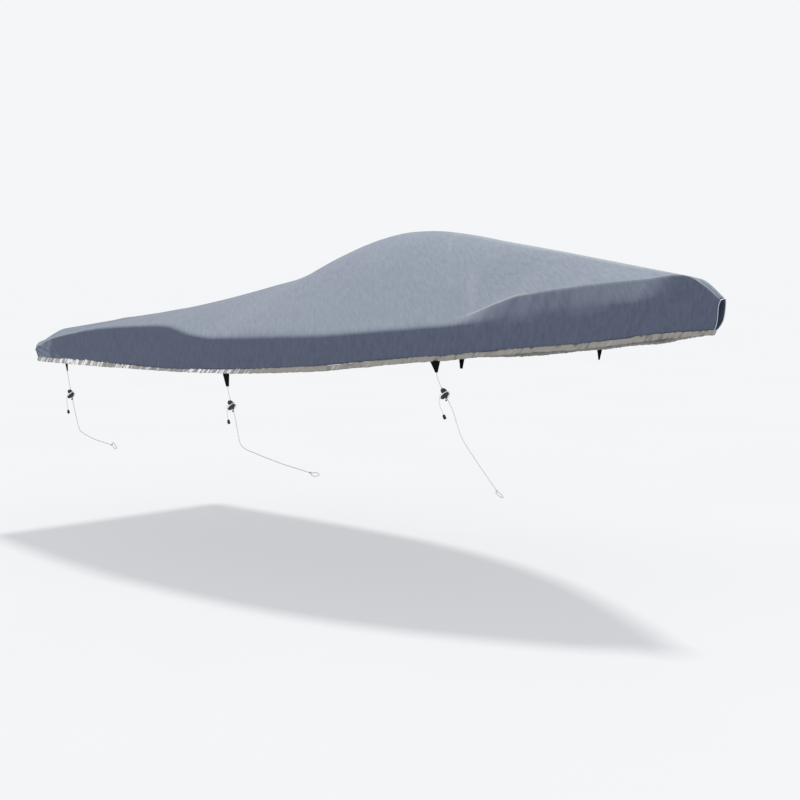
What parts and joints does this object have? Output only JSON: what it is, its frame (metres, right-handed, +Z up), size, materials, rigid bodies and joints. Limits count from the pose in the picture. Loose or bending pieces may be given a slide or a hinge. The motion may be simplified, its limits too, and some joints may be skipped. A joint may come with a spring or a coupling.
{
  "type": "fitted boat cover",
  "caption": "Fitted canvas cover for a small open boat: peaked ridge, creased skirt, ruched edge casing, bow notch, webbing tabs and tie-down cords",
  "frame": {"origin": "under the cloth at the highest point of the ridge, where the boat's top holds the cover up", "axes": "+X to the bow, +Y to port, +Z up"},
  "size_m": [4.9058, 2.0402, 1.4877],
  "materials": {
    "cover_canvas": "blue-grey woven polyester canvas, matt",
    "casing_cloth": "light ruched casing cloth, slightly shiny",
    "binding_tape": "white folded tape",
    "tab_webbing": "black woven webbing",
    "tie_cord": "white braided cord",
    "cleat_plastic": "dark grey moulded plastic",
    "bead_plastic": "black moulded plastic"
  },
  "bodies": {
    "root": {"cover_cloth": "cover_canvas", "notch_binding": "binding_tape", "casing_stem": "casing_cloth", "casing_nose_starboard": "casing_cloth", "casing_nose_port": "casing_cloth", "casing_bow_starboard": "casing_cloth", "casing_bow_port": "casing_cloth", "casing_front_starboard": "casing_cloth", "casing_front_port": "casing_cloth", "casing_middle_starboard": "casing_cloth", "casing_middle_port": "casing_cloth", "casing_quarter_starboard": "casing_cloth", "casing_quarter_port": "casing_cloth", "casing_aft_starboard": "casing_cloth", "casing_aft_port": "casing_cloth", "casing_corner_starboard": "casing_cloth", "casing_corner_port": "casing_cloth", "casing_stern": "casing_cloth", "tab_stern_starboard": "tab_webbing", "tab_stern_port": "tab_webbing", "tab_middle_starboard": "tab_webbing", "tab_middle_port": "tab_webbing", "tab_forward_starboard": "tab_webbing", "tab_forward_port": "tab_webbing", "cord_stern": "tie_cord", "cleat_stern": "cleat_plastic", "tail_stern": "tie_cord", "bead_stern": "bead_plastic", "knot_stern": "tie_cord", "loop_stern": "tie_cord", "cord_middle": "tie_cord", "cleat_middle": "cleat_plastic", "tail_middle": "tie_cord", "bead_middle": "bead_plastic", "knot_middle": "tie_cord", "loop_middle": "tie_cord", "cord_forward": "tie_cord", "cleat_forward": "cleat_plastic", "tail_forward": "tie_cord", "bead_forward": "bead_plastic", "knot_forward": "tie_cord", "loop_forward": "tie_cord"}
  },
  "joints": []
}
